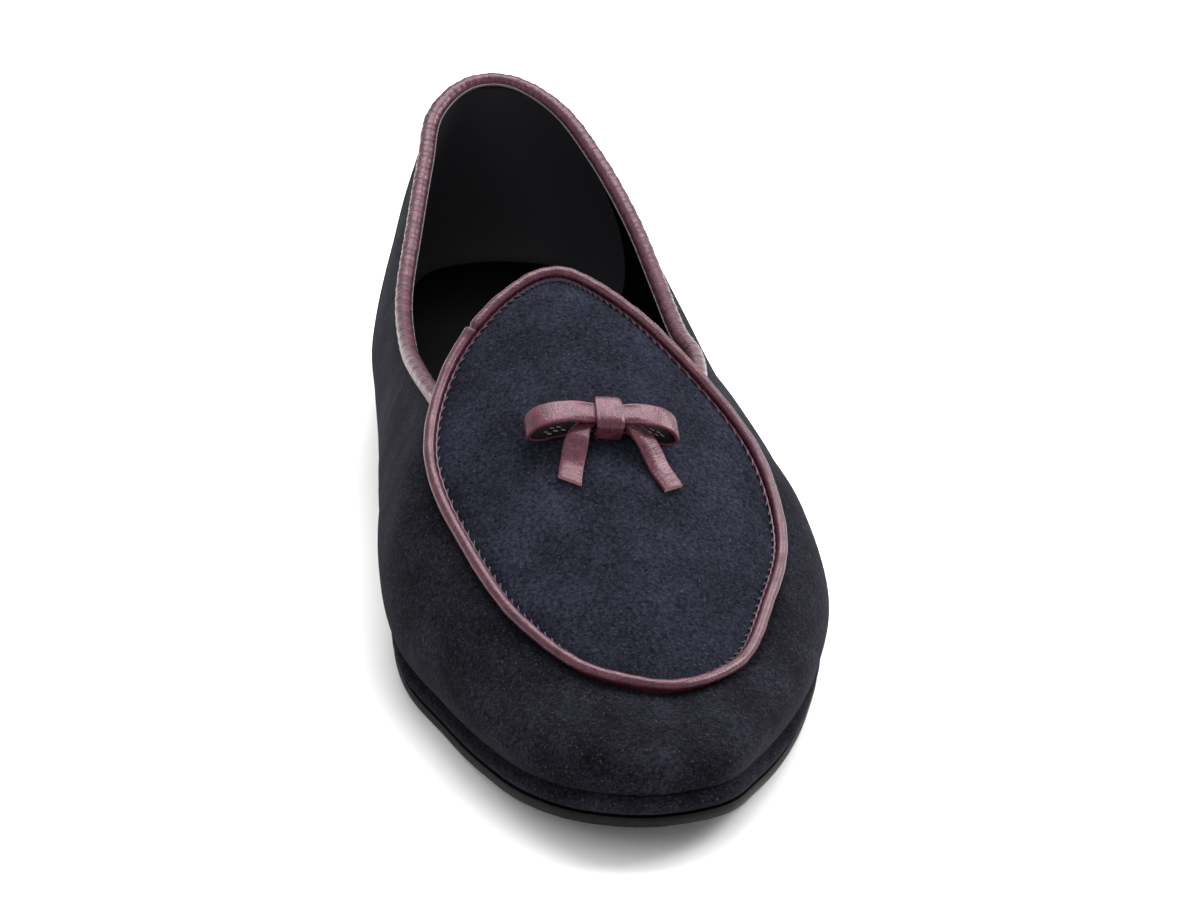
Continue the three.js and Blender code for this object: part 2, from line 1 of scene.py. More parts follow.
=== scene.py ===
import bmesh
import bpy
import numpy as np
from mathutils import Matrix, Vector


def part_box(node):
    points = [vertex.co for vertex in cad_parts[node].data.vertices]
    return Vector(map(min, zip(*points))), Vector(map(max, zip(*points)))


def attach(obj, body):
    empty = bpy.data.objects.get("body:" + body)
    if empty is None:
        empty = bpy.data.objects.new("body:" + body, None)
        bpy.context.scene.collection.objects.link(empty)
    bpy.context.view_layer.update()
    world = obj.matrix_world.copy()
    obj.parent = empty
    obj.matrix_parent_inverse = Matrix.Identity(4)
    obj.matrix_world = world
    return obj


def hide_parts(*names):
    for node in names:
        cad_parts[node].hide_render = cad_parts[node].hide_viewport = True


# A slipper loafer in brushed navy suede, a left shoe, empty and standing on its sole. Everything is in
# metres in the part's own frame: the origin is the middle of the heel's ground face, +X is the outer side
# of the foot, +Y points to the back and +Z up.

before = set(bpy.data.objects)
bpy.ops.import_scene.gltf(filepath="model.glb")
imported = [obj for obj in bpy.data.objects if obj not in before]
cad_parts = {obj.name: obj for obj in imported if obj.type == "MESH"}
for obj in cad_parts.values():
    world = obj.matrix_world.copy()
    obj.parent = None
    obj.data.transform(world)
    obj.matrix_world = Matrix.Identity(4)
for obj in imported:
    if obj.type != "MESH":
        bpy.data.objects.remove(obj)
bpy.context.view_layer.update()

# The outsole: a thin sole cut from black leather in one piece from heel to toe. It is cemented under the
# midsole, its lower corner is rounded, and its cut edge is inked and burnished.

mm = 0.001
outsole_low, outsole_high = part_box("outsole")
sole_length = outsole_high.y - outsole_low.y
heel_reach = outsole_high.y
ball_width = 100 * mm
waist_width = 74 * mm
heel_width = 64 * mm
heel_height = 13 * mm
toe_spring = 8.5 * mm
outsole_thickness = 2.5 * mm
toe_off = -0.012 * ball_width
clearance = 0.3 * mm

# The sole's edge: share of the length from the back, the width it is measured in there, and how far it
# reaches to the outer and inner side as shares of that width.
sole_rows = [
    (0.018, heel_width, 0.29, 0.27),
    (0.065, heel_width, 0.43, 0.40),
    (0.14, heel_width, 0.51, 0.52),
    (0.23, heel_width, 0.54, 0.56),
    (0.33, waist_width, 0.51, 0.47),
    (0.43, waist_width, 0.58, 0.475),
    (0.52, ball_width, 0.485, 0.385),
    (0.61, ball_width, 0.53, 0.445),
    (0.70, ball_width, 0.515, 0.45),
    (0.785, ball_width, 0.445, 0.39),
    (0.865, ball_width, 0.355, 0.33),
    (0.93, ball_width, 0.255, 0.262),
    (0.98, ball_width, 0.155, 0.153),
]
# The underside's height along the shoe: shares of the heel's height and of the toe spring.
underside_rows = [
    (0, 1.04, 0),
    (0.12, 1.00, 0),
    (0.24, 0.95, 0),
    (0.4, 0.5, 0),
    (0.52, 0.12, 0),
    (0.6, 0, 0),
    (0.72, 0, 0),
    (0.8, 0, 0.08),
    (0.88, 0, 0.34),
    (0.94, 0, 0.62),
    (1, 0, 1),
]


def reader(rows, *units):
    """Reads a table's columns, each times its unit, at any share along the shoe.

    Between two rows a value follows the cubic that has the rows' values and slopes at its ends. A row's
    slope is the harmonic mean of the rises before and after it, or level where they differ in sign.
    """
    rows = np.array(rows, float)
    at, value = rows[:, 0], rows[:, 1:] * (units or 1)
    rise = np.diff(value, axis=0) / np.diff(at)[:, None]
    product = rise[:-1] * rise[1:]
    both = np.where(product > 0, rise[:-1] + rise[1:], 1)
    slope = np.vstack([rise[:1], np.where(product > 0, 2 * product / both, 0), rise[-1:]])

    def read(along):
        place = np.clip(along, at[0], at[-1])
        i = np.clip(np.searchsorted(at, place, side="right") - 1, 0, len(at) - 2)
        span = (at[i + 1] - at[i])[..., None]
        s = (place - at[i])[..., None] / span
        start = (1 + 2 * s) * (1 - s) ** 2 * value[i] + s * (1 - s) ** 2 * span * slope[i]
        end = s**2 * (3 - 2 * s) * value[i + 1] + s**2 * (s - 1) * span * slope[i + 1]
        return np.moveaxis(start + end, -1, 0)

    return read


def smooth_line(points, closed):
    """A curve through points, read by a share from 0 to 1.

    Each span is a cubic with Catmull-Rom slopes, taken over the square roots of the distances between
    the points, so that it doesn't loop where they are close together.
    """
    points = np.array(points, float)
    if closed:
        chain = np.vstack([points[-1:], points, points[:2]])
    else:
        chain = np.vstack([2 * points[0] - points[1], points, 2 * points[-1] - points[-2]])
    spans = len(chain) - 3
    gap = np.linalg.norm(np.diff(chain, axis=0), axis=1)[:, None] ** 0.5

    def read(share):
        place = (share % 1 if closed else np.clip(share, 0, 1)) * spans
        i = np.minimum(place.astype(int), spans - 1)
        s = (place - i)[..., None]
        a, b, c, d = (chain[i + k] for k in range(4))
        before, here, after = (gap[i + k] for k in range(3))
        leave = here * ((b - a) / before - (c - a) / (before + here) + (c - b) / here)
        arrive = here * ((c - b) / here - (d - b) / (here + after) + (d - c) / after)
        bend = 3 * (c - b) - 2 * leave - arrive
        return b + s * leave + s**2 * bend + s**3 * (2 * (b - c) + leave + arrive)

    return read


def unit(vectors):
    """Vectors divided by their lengths."""
    return vectors / np.linalg.norm(vectors, axis=-1, keepdims=True)


def y_of(along):
    """The y of a share of the sole's length from the back."""
    return heel_reach - along * sole_length


def along_of(y):
    """The share of the sole's length from the back at a y."""
    return (heel_reach - y) / sole_length


underside_lifts = reader(underside_rows, heel_height, toe_spring)


def underside(along):
    """Height of the outsole's lower face: the heel's lift and the toe's spring added up."""
    heel_lift, toe_lift = underside_lifts(along)
    return heel_lift + toe_lift


outer_edge = [(outer * width, y_of(along), 0) for along, width, outer, _ in sole_rows]
inner_edge = [(-inner * width, y_of(along), 0) for along, width, _, inner in reversed(sole_rows)]
sole_edge = smooth_line([(0, y_of(0), 0), *outer_edge, (toe_off, y_of(1), 0), *inner_edge], closed=True)


def beside(curve, share):
    """Places on a level closed curve with the level direction out of it.

    The direction is the curve's own, from a short step before to a short step after, turned by a right
    angle.
    """
    step = 1e-4
    ahead = curve(share + step) - curve(share - step)
    out = np.stack([-ahead[..., 1], ahead[..., 0], 0 * ahead[..., 0]], axis=-1)
    return curve(share), unit(out)


def plate(levels, shares):
    """A closed layer of the bottom as three grids: its side, its lower face and its upper face.

    The side is the sole's edge moved in by each level's inset at that level's height over the shares.
    A face runs straight across from each place of its rim to the place opposite.
    """
    point, out = beside(sole_edge, shares)
    along = along_of(point[:, 1])
    rims = []
    for inset, height in levels:
        rim = point - inset * out
        rim[:, 2] = height(along)
        rims.append(rim)
    across = np.linspace(0, 1, 9)[None, :, None]
    half = len(shares) // 2 + 1
    layer = [np.stack(rims, axis=1)]
    for rim in (rims[0], rims[-1]):
        layer.append(rim[:half, None] * (1 - across) + rim[::-1][:half, None] * across)
    return layer


def above(height):
    """A level that follows the outsole's lower face at this height over it."""
    return lambda along: underside(along) + height


def surface(name, grids, finishes, sorts=None, corner=40):
    """One piece from grids of points, shaped rows, columns, xyz, or with a count of like grids first.

    Four neighbours make a face, points at one place become one, and the faces are turned outwards. The
    UV map holds each point's way along the rows and along the columns in metres. sorts names the finish
    of each grid by its number, and edges sharper than corner degrees stay sharp.
    """
    places, faces, ways, kinds, start = [], [], [], [], 0
    for grid, sort in zip(grids, sorts or [0] * len(grids)):
        grid = grid.reshape(-1, *grid.shape[-3:])
        count, rows, columns = grid.shape[:3]
        index = start + np.arange(count * rows * columns).reshape(count, rows, columns)
        corners = [index[:, :-1, :-1], index[:, 1:, :-1], index[:, 1:, 1:], index[:, :-1, 1:]]
        faces.append(np.stack(corners, axis=-1).reshape(-1, 4))
        down = np.linalg.norm(np.diff(grid, axis=1), axis=-1).mean(axis=(0, 2))
        along = np.linalg.norm(np.diff(grid, axis=2), axis=-1).mean(axis=(0, 1))
        way = np.meshgrid(np.cumsum([0, *down]), np.cumsum([0, *along]), indexing="ij")
        ways.append(np.tile(np.stack(way, axis=-1).reshape(-1, 2), (count, 1)))
        places.append(grid.reshape(-1, 3))
        kinds.append(np.full(len(faces[-1]), sort))
        start += count * rows * columns
    faces = np.vstack(faces)
    mesh = bpy.data.meshes.new(name)
    mesh.from_pydata(np.vstack(places).tolist(), [], faces.tolist())
    mesh.uv_layers.new(name="way").data.foreach_set("uv", np.vstack(ways)[faces.ravel()].ravel())
    for finish in finishes:
        mesh.materials.append(finish)
    mesh.polygons.foreach_set("material_index", np.concatenate(kinds))
    mesh.polygons.foreach_set("use_smooth", np.ones(len(faces), bool))
    shape = bmesh.new()
    shape.from_mesh(mesh)
    bmesh.ops.remove_doubles(shape, verts=shape.verts, dist=1e-6)
    bmesh.ops.recalc_face_normals(shape, faces=shape.faces)
    shape.to_mesh(mesh)
    shape.free()
    mesh.set_sharp_from_angle(angle=np.radians(corner))
    piece = bpy.data.objects.new(name, mesh)
    bpy.context.scene.collection.objects.link(piece)
    return piece


def add_node(tree, kind, sockets=(), **settings):
    """Adds a shader node. A socket gets its value, or a link where the value is another node's output."""
    made = tree.nodes.new("ShaderNode" + kind)
    for setting, value in settings.items():
        setattr(made, setting, value)
    for name, value in dict(sockets).items():
        if isinstance(value, bpy.types.NodeSocket):
            tree.links.new(value, made.inputs[name])
        else:
            made.inputs[name].default_value = value
    return made.outputs[0]


def blank(name, **sockets):
    """A material with its node tree and its shader, whose sockets have these values."""
    material = bpy.data.materials.new(name)
    material.use_nodes = True
    shader = material.node_tree.nodes["Principled BSDF"]
    for socket, value in sockets.items():
        shader.inputs[socket.replace("_", " ")].default_value = value
    return material, material.node_tree, shader


def ramp(tree, value, *stops):
    """Colours along a value from 0 to 1: each stop is a place and a colour."""
    made = tree.nodes.new("ShaderNodeValToRGB")
    tree.links.new(value, made.inputs[0])
    elements = made.color_ramp.elements
    while len(elements) < len(stops):
        elements.new(0.5)
    for element, (place, color) in zip(elements, stops):
        element.position = place
        element.color = (*color, 1)
    return made.outputs[0]


def noise(tree, place, scale, detail=2, roughness=0.5):
    """Even noise about 0.5, with features of 1 / scale metres. scale may differ by axis."""
    steps = scale if isinstance(scale, tuple) else (scale, scale, scale)
    spread = add_node(tree, "Mapping", {"Vector": place, "Scale": steps})
    sockets = {"Vector": spread, "Scale": 1, "Detail": detail, "Roughness": roughness}
    return add_node(tree, "TexNoise", sockets)


def raise_surface(tree, *steps):
    """Bumps laid over each other on the material's surface: each is a height, a strength and a depth."""
    normal = None
    for height, strength, depth in steps:
        sockets = {"Height": height, "Strength": strength, "Distance": depth}
        if normal:
            sockets["Normal"] = normal
        normal = add_node(tree, "Bump", sockets)
    tree.links.new(normal, tree.nodes["Principled BSDF"].inputs["Normal"])


def sole_leather(name, dark, wear_and_pore_shade, rough):
    """Inked black leather: two near blacks in soft patches, fine scratches along the shoe as bump."""
    material, tree, shader = blank(name, Roughness=rough, Specular_IOR_Level=0.12)
    place = tree.nodes.new("ShaderNodeTexCoord").outputs["Object"]
    patches = noise(tree, place, 90, detail=4)
    tree.links.new(ramp(tree, patches, (0.35, dark), (0.7, wear_and_pore_shade)), shader.inputs["Base Color"])
    scratches = noise(tree, place, (2600, 220, 2600), detail=3)
    raise_surface(tree, (scratches, 0.35, 0.1 * mm))
    return material


inked_leather = sole_leather(
    "inked_sole_leather", (0.0022, 0.0022, 0.0026), (0.006, 0.0057, 0.006), rough=0.55
)
all_round = np.linspace(0, 1, 481)
outsole_levels = [
    (1.6 * mm, above(0)),
    (1.0 * mm, above(0)),
    (0.55 * mm, above(0.08 * outsole_thickness)),
    (0.3 * mm, above(0.3 * outsole_thickness)),
    (0, above(0.6 * outsole_thickness)),
    (0.08 * mm, above(0.85 * outsole_thickness)),
    (0.4 * mm, above(outsole_thickness)),
]
outsole = surface("cut_outsole", plate(outsole_levels, all_round), [inked_leather])
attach(outsole, "root")
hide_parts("outsole")

# The heel: a low block stacked from four lifts of sole leather and a thin top piece, nailed and cemented
# together. Its side is sanded flush and inked, so the lifts show as fine level lines.

heel_length = 64 * mm
heel_taper = 2 * mm
heel_lifts = 4
heel_inset = 0.8 * mm
lift_groove = 0.22 * mm
heel_shares = np.linspace(0, 0.5, 4001)
heel_end = np.interp(heel_length / sole_length, along_of(sole_edge(heel_shares)[:, 1]), heel_shares)


def block_height(share):
    """Height of a heel lift: a share of the way from the level ground to just under the outsole."""
    return lambda along: share * (underside(along) - clearance)


heel_levels = [(heel_taper + 0.5 * mm, block_height(0)), (heel_taper, block_height(0.015))]
for seam in range(heel_lifts + 1):
    low, high = (seam + 0.04) / (heel_lifts + 1), (seam + 0.96) / (heel_lifts + 1)
    mid = (seam + 1) / (heel_lifts + 1)
    for share, groove in ((low, 0), (high, 0), (mid, lift_groove)):
        inset = heel_taper + (heel_inset - heel_taper) * share
        heel_levels.append((inset + (groove if mid < 1 else 0), block_height(min(share, 1))))
heel_round = np.concatenate([np.linspace(0, heel_end, 61), np.linspace(1 - heel_end, 1, 61)])
heel = surface("stacked_heel", plate(heel_levels, heel_round), [inked_leather], corner=25)
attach(heel, "root")
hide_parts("heel")

# The midsole: soft, and wrapped in the upper's own suede. Its side is a plump roll that draws in above to
# the dark seam under the wall, and the wrap shows slight pulls all round, where it was stretched.

midsole_foot = outsole_thickness + clearance
midsole_thickness = 4.5 * mm
wrap_pull = 0.05 * mm
# The roll's side: share of the midsole's height, and how far in from the sole's edge.
roll_rows = [(0, 1.2 * mm), (0.22, 0.1 * mm), (0.5, -0.5 * mm), (0.8, 0), (1, 1.6 * mm)]
roll_inset = smooth_line([(inset, up, 0) for up, inset in roll_rows], closed=False)


def wave(turns, ahead=0):
    """The sine of a number of full turns, with ahead radians added."""
    return np.sin(2 * np.pi * turns + ahead)


def multiplied(tree, first, second):
    """Two colours multiplied."""
    sockets = {"Fac": 1.0, "Color1": first, "Color2": second}
    return add_node(tree, "MixRGB", sockets, blend_type="MULTIPLY")


def brushed_suede(name, deep, pale, bloom):
    """Brushed suede from Object coordinates.

    Broad soft patches where the nap lies another way go from deep to pale, and a finer noise, the one that
    also raises the fibres, paints the colour darker between them and lighter on their tops as painted
    shade and painted highlight. A speckle of single fibre tips lifts some points to bloom, and two noises
    raise the nap.
    """
    sheen = {"Sheen_Weight": 0.03, "Sheen_Roughness": 0.35, "Sheen_Tint": (0.60, 0.64, 0.82, 1)}
    material, tree, shader = blank(name, Roughness=0.95, Specular_IOR_Level=0.04, **sheen)
    place = tree.nodes.new("ShaderNodeTexCoord").outputs["Object"]
    patches = noise(tree, place, (75, 58, 75), detail=6, roughness=0.62)
    fibres = noise(tree, place, 1100, detail=4, roughness=0.7)
    tips = noise(tree, place, 1900, detail=2, roughness=0.6)
    between = tuple(0.45 * (low + high) for low, high in zip(deep, pale))
    nap = ramp(tree, patches, (0.36, deep), (0.50, between), (0.66, pale))
    # Painted shade between the fibres and painted highlight on their tops, from the noise that raises them.
    shade = ramp(tree, fibres, (0.34, (0.30, 0.30, 0.30)), (0.66, (1.9, 1.9, 1.9)))
    shaded = multiplied(tree, nap, shade)
    flecks = ramp(tree, tips, (0.60, (0, 0, 0)), (0.78, (0.8, 0.8, 0.8)))
    speckled = add_node(tree, "MixRGB", {"Fac": flecks, "Color1": shaded, "Color2": (*bloom, 1)})
    tree.links.new(speckled, shader.inputs["Base Color"])
    rough = noise(tree, place, 380, detail=4)
    raise_surface(tree, (rough, 0.5, 0.35 * mm), (fibres, 0.7, 0.3 * mm))
    return material


navy_suede = brushed_suede(
    "navy_suede", (0.0034, 0.0035, 0.0052), (0.0100, 0.0102, 0.0150), (0.055, 0.057, 0.072)
)
roll_shares = np.linspace(0, 1, 17)
roll = roll_inset(roll_shares)
roll_levels = [(inset, above(midsole_foot + up * midsole_thickness)) for inset, up, _ in roll]
midsole_grids = plate(roll_levels, all_round)
pulls = wave(83 * all_round) + wave(131 * all_round, 1)
midsole_grids[0][..., 2] += wrap_pull * pulls[:, None] * np.sin(np.pi * roll_shares)
midsole = surface("wrapped_midsole", midsole_grids, [navy_suede])
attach(midsole, "root")
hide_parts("midsole")

# The insole: a thin board under a sock of black lining leather, cemented down on the midsole. The sock is
# turned over the board's upper edge, which rounds it beside the wall.

midsole_top = midsole_foot + midsole_thickness
insole_thickness = 3 * mm
wall = 1.7 * mm
wall_inset = 1.2 * mm


def lining_leather(name, tone, rough, gloss=0.4):
    """Smooth leather of one tone and specular level, with small pores from Object coordinates as bump."""
    material, tree, _ = blank(name, Base_Color=(*tone, 1), Roughness=rough, Specular_IOR_Level=gloss)
    place = tree.nodes.new("ShaderNodeTexCoord").outputs["Object"]
    pores = noise(tree, place, 1300, detail=3)
    raise_surface(tree, (pores, 0.3, 0.1 * mm))
    return material


# The lining's near black is partly its own black and partly painted shade for the inside of the shoe.
black_lining_and_painted_shade = lining_leather("black_lining_and_painted_shade", (0.0006, 0.0006, 0.0010), 0.6, gloss=0.03)
sock_inset = wall_inset + wall + clearance
sock_foot = midsole_top + clearance
sock_levels = [
    (sock_inset, above(sock_foot)),
    (sock_inset, above(sock_foot + 0.7 * insole_thickness)),
    (sock_inset + 0.3 * mm, above(sock_foot + 0.92 * insole_thickness)),
    (sock_inset + 1 * mm, above(sock_foot + insole_thickness)),
]
insole = surface("sock_lining", plate(sock_levels, all_round), [black_lining_and_painted_shade])
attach(insole, "root")
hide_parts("insole")

# The upper: vamp and quarters in brushed navy suede over a black leather lining, lasted and sewn under at
# the midsole. At the heel a stiff counter stands between the two, and the lining there is a smoother piece,
# greyer partly in its own tone and partly as painted sheen, the light reflected on the back of the wall
# inside. One plain seam up the back joins the quarters.

back_height = 54 * mm
instep_height = 66 * mm
fullness = 10 * mm
ridge_off = -0.02 * ball_width
ridge_at = 0.65
seam_pull = 0.18
collar_lean = 0.34
junction_at_edge = 0.27
junction_at_seam = 0.17
junction_blend = 0.1
flange = 0.6 * mm
seam_gap = flange / 2 + clearance

# The vamp's crown: share along, its ridge as a share of the instep's height over the midsole, and its
# radius across the foot as a share of the ball's width.
crown_rows = [
    (0.4, 1.04, 0.30),
    (0.46, 1.01, 0.32),
    (0.52, 0.97, 0.36),
    (0.58, 0.91, 0.40),
    (0.64, 0.825, 0.42),
    (0.7, 0.71, 0.43),
    (0.76, 0.59, 0.435),
    (0.82, 0.45, 0.44),
    (0.88, 0.305, 0.45),
    (0.94, 0.16, 0.46),
    (1, 0, 0.46),
]
# The plug's seam from the tongue's tip round the outer side: share along, share of the ball's width.
plug_rows = [
    (0.487, -0.02),
    (0.508, 0.085),
    (0.55, 0.215),
    (0.628, 0.375),
    (0.712, 0.403),
    (0.793, 0.33),
    (0.866, 0.225),
    (0.902, 0.065),
    (0.885, -0.095),
    (0.824, -0.225),
    (0.742, -0.313),
    (0.635, -0.365),
    (0.55, -0.283),
    (0.5, -0.13),
]
# The topline from the outer end of the seam round the heel: share along, share of the heel's width, and
# share of the back's height.
collar_rows = [
    (0.47, 0.5, 0.78),
    (0.4, 0.495, 0.67),
    (0.3, 0.49, 0.61),
    (0.2, 0.455, 0.68),
    (0.11, 0.37, 0.81),
    (0.045, 0.26, 0.92),
    (0.016, 0.12, 0.99),
    (0.01, 0, 1.01),
    (0.016, -0.12, 0.99),
    (0.045, -0.245, 0.92),
    (0.11, -0.32, 0.81),
    (0.2, -0.41, 0.68),
    (0.3, -0.5, 0.59),
    (0.4, -0.535, 0.66),
    (0.47, -0.54, 0.78),
]
# How far the wall swells on the outer and inner side, and how high on the wall it does so on each.
swell_rows = [
    (0, 0.8, 0.8, 0.32, 0.32),
    (0.12, 0.85, 0.35, 0.36, 0.26),
    (0.3, 1.5, 1.3, 0.46, 0.26),
    (0.5, 1.5, 1.75, 0.4, 0.4),
    (0.65, 1, 1.1, 0.32, 0.32),
    (0.8, 1, 1.2, 0.38, 0.38),
    (0.93, 0.8, 0.8, 0.42, 0.42),
    (1, 0.6, 0.6, 0.4, 0.4),
]
crown_shape = reader(crown_rows, instep_height, ball_width)
swell_shape = reader(swell_rows)
plug_seam = smooth_line(
    [(across * ball_width, y_of(along), 0) for along, across in plug_rows], closed=True
)


def seat(along):
    """Height of the wall's foot: the underside's height plus that of everything under the wall."""
    return underside(along) + midsole_top + clearance


def crown(x, y):
    """Height of the crown: the ridge's height less the fall of a round arch of the table's radius."""
    along = along_of(y)
    ridge, radius = crown_shape(along)
    off = x - ridge_off * (1 - (along - ridge_at))
    return seat(along) + ridge - (np.hypot(radius, off) - radius)


def on_crown(place):
    """Raises places onto the crown, with the direction out of it from the height differences round them."""
    x, y = place[..., 0], place[..., 1]
    step = 0.5 * mm
    across = crown(x - step, y) - crown(x + step, y)
    along = crown(x, y - step) - crown(x, y + step)
    point = np.stack([x, y, crown(x, y)], axis=-1)
    return point, unit(np.stack([across, along, np.full_like(across, 2 * step)], axis=-1))


def seam_place(share, shift):
    """The plug's seam moved out by shift and raised onto the crown, with the crown's and level directions."""
    place, out = beside(plug_seam, share)
    point, normal = on_crown(place + shift * out)
    return point, normal, out


def smoothstep(value, low, high):
    """0 below low and 1 above high, with s squared times 3 - 2s in between."""
    s = np.clip((value - low) / (high - low), 0, 1)
    return s * s * (3 - 2 * s)


seam_ends = [seam_place(np.array([share]), 0)[0] for share in (junction_at_seam, 1 - junction_at_seam)]
along, across, rise = np.array(collar_rows).T
collar_line = np.stack([across * heel_width, y_of(along), seat(along) + rise * back_height], axis=1)
topline = smooth_line(np.vstack([seam_ends[0], collar_line, seam_ends[1]]), closed=False)


def wall_top(share, out):
    """The wall's upper edge: the plug's seam in front, the topline behind, each moved out by the seam gap.

    Just behind the end of the seam the way out turns from the seam's to the sole edge's.
    """
    past = np.minimum(share, 1 - share) - junction_at_edge
    of_front = (share - junction_at_edge) / (1 - 2 * junction_at_edge)
    on_seam = junction_at_seam + of_front * (1 - 2 * junction_at_seam)
    on_seam = np.clip(on_seam, junction_at_seam, 1 - junction_at_seam)
    seam_point, _, seam_out = seam_place(on_seam, seam_gap)
    from_heel = np.where(share < 0.5, -share, 1 - share)
    turn = smoothstep(past, -0.04, 0)[:, None]
    shift = unit(out * (1 - turn) + seam_out * turn)
    collar_point = topline((1 + from_heel / junction_at_edge) / 2) + shift * seam_gap
    return np.where(past[:, None] >= 0, seam_point, collar_point)


def wall_lines(share):
    """The four points of each upright cubic of the outer face, and the level way out of the sole.

    The first is the wall's foot, the second leans out over the sole by the swell, the third leaves the
    upper edge along the crown in front and down the collar's lean behind, and the fourth is that edge.
    """
    edge, out = beside(sole_edge, share)
    along = along_of(edge[:, 1])
    foot = edge - wall_inset * out
    foot[:, 2] = seat(along)
    top = wall_top(share, out)
    height = np.linalg.norm(top - foot, axis=1, keepdims=True)
    step = mm * out
    fall = crown(top[:, 0] + step[:, 0], top[:, 1] + step[:, 1]) - crown(top[:, 0], top[:, 1])
    along_crown, upright = out.copy(), collar_lean * out
    along_crown[:, 2] = fall / mm
    upright[:, 2] = -1
    past = np.minimum(share, 1 - share) - junction_at_edge
    front = smoothstep(past, -junction_blend / 2, junction_blend / 2)[:, None]
    leaving = unit(unit(upright) * (1 - front) + unit(along_crown) * front)
    outer, inner, outer_rise, inner_rise = swell_shape(along)
    swell = fullness * np.where(share < 0.5, outer, inner)
    low = foot + swell[:, None] * out
    low[:, 2] += height[:, 0] * np.where(share < 0.5, outer_rise, inner_rise)
    high = top + leaving * height * seam_pull
    return foot, low, high, top, out


def cubic(points, share):
    """Places on Bezier cubics: the four points weighted by the Bernstein terms of the share."""
    a, b, c, d = (point[:, None] for point in points[:4])
    s = share[None, :, None]
    return (1 - s) ** 3 * a + 3 * s * (1 - s) ** 2 * b + 3 * s**2 * (1 - s) * c + s**3 * d


def facing(grid):
    """The way out of a closed wall of points: the cross product of its differences up and round."""
    ring = np.concatenate([grid[-2:-1], grid, grid[1:2]])
    return unit(np.cross(np.gradient(grid, axis=1), ring[2:] - ring[:-2]))


def trough(value, middle, width):
    """A soft trough: a bell of height 1 about middle that falls to a third at width."""
    return np.exp(-(((value - middle) / width) ** 2))


round_shares = np.linspace(0, 1, 641)
up_shares = np.linspace(0, 1, 57)
wall_curves = wall_lines(round_shares)
outer_face = cubic(wall_curves, up_shares)
out_of_wall = facing(outer_face)
u, v = round_shares[:, None], up_shares[None, :]
from_back = np.minimum(u, 1 - u)
top_gap = np.linalg.norm(outer_face - outer_face[:, -1:], axis=-1)
in_front = smoothstep(from_back, junction_at_edge - 0.01, junction_at_edge + 0.02)

# Troughs and ridges of the lasted suede: drawn in at the plug's seam and puckered beside it, the joined
# seam up the back, soft folds in the quarters where the foot bends, and the unevenness of hand lasting.
# A fold's row holds its share round the sole's edge, how it leans, its width and its depth in mm.
seam_dip = -0.75 * mm * in_front * np.exp(-top_gap / (1.3 * mm))
puckers = 0.10 * mm * in_front * wave(150 * u) * trough(top_gap, 2.6 * mm, 1.8 * mm)
back_seam = -0.45 * mm * np.exp(-from_back / 0.0009) + 0.18 * mm * trough(from_back, 0.0042, 0.0022)
fold_rows = [
    (0.768, 0.012, 0.0050, 0.30),
    (0.745, 0.016, 0.0060, -0.22),
    (0.722, 0.020, 0.0070, 0.15),
    (0.262, -0.012, 0.0060, 0.20),
    (0.285, -0.018, 0.0070, -0.15),
]
folds = np.zeros_like(top_gap)
for place, lean, width, depth in fold_rows:
    folds -= depth * mm * trough(u, place + lean * (v - 0.5), width) * np.sin(np.pi * v) ** 1.5
uneven = 0.16 * mm * wave(5 * u + 1.3 * v) * np.sin(np.pi * v)
uneven += 0.12 * mm * wave(11 * u - 2.1 * v, 1) * np.sin(np.pi * v)
relief = seam_dip + puckers + back_seam + folds + uneven
suede_face = outer_face + relief[..., None] * out_of_wall

# The lining lies a wall's thickness inside. The counter's lining piece is a little thicker, and ends on
# each side in an edge that runs down and forward.
counter_reach = 0.095
counter_slant = 0.03
counter_step = 0.45 * mm
counter_margin = 0.004
on_counter = smoothstep(counter_reach + counter_slant * (1 - v) ** 1.4 - from_back, 0, 0.0012)
lining_depth = wall + counter_step * on_counter * smoothstep(v, 0, 0.06) * smoothstep(1 - v, 0, 0.06)
lining_face = outer_face - lining_depth[..., None] * out_of_wall
lining_face[:, 0] = outer_face[:, 0] - wall * wall_curves[4]
across_wall = np.linspace(0, 1, 4)[None, :, None]
top_edge = suede_face[:, -1:] * (1 - across_wall) + lining_face[:, -1:] * across_wall
foot_edge = suede_face[:, :1] * (1 - across_wall) + lining_face[:, :1] * across_wall

# Greyer than the black lining partly in its own tone and partly as painted sheen: light reflected on the back
# of the wall inside.
counter_lining_and_painted_sheen = lining_leather("counter_lining_and_painted_sheen", (0.0240, 0.0240, 0.0280), 0.45, gloss=0.12)
before_counter = from_back[:, 0] > counter_reach + counter_margin
cut_outer, cut_inner = np.flatnonzero(before_counter)[[0, -1]]
lining_pieces = [
    lining_face[: cut_outer + 1],
    lining_face[cut_outer : cut_inner + 1],
    lining_face[cut_inner:],
]
upper = surface(
    "vamp_and_quarters",
    [suede_face, *lining_pieces, top_edge, foot_edge],
    [navy_suede, black_lining_and_painted_shade, counter_lining_and_painted_sheen],
    sorts=[0, 2, 1, 2, 1, 0],
)
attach(upper, "root")
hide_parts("upper")

# The plug: one egg-shaped piece of the same suede over black lining, set into the vamp. Its back part is
# the tongue, which stands free over the opening. Brushed the other way, it looks a little bluer.

plug_suede = brushed_suede(
    "plug_suede", (0.0070, 0.0076, 0.0120), (0.0150, 0.0165, 0.0262), (0.060, 0.066, 0.090)
)
felling_count = 128
rim_line, rim_out = beside(plug_seam, round_shares)
plug_rim = rim_line - seam_gap * rim_out
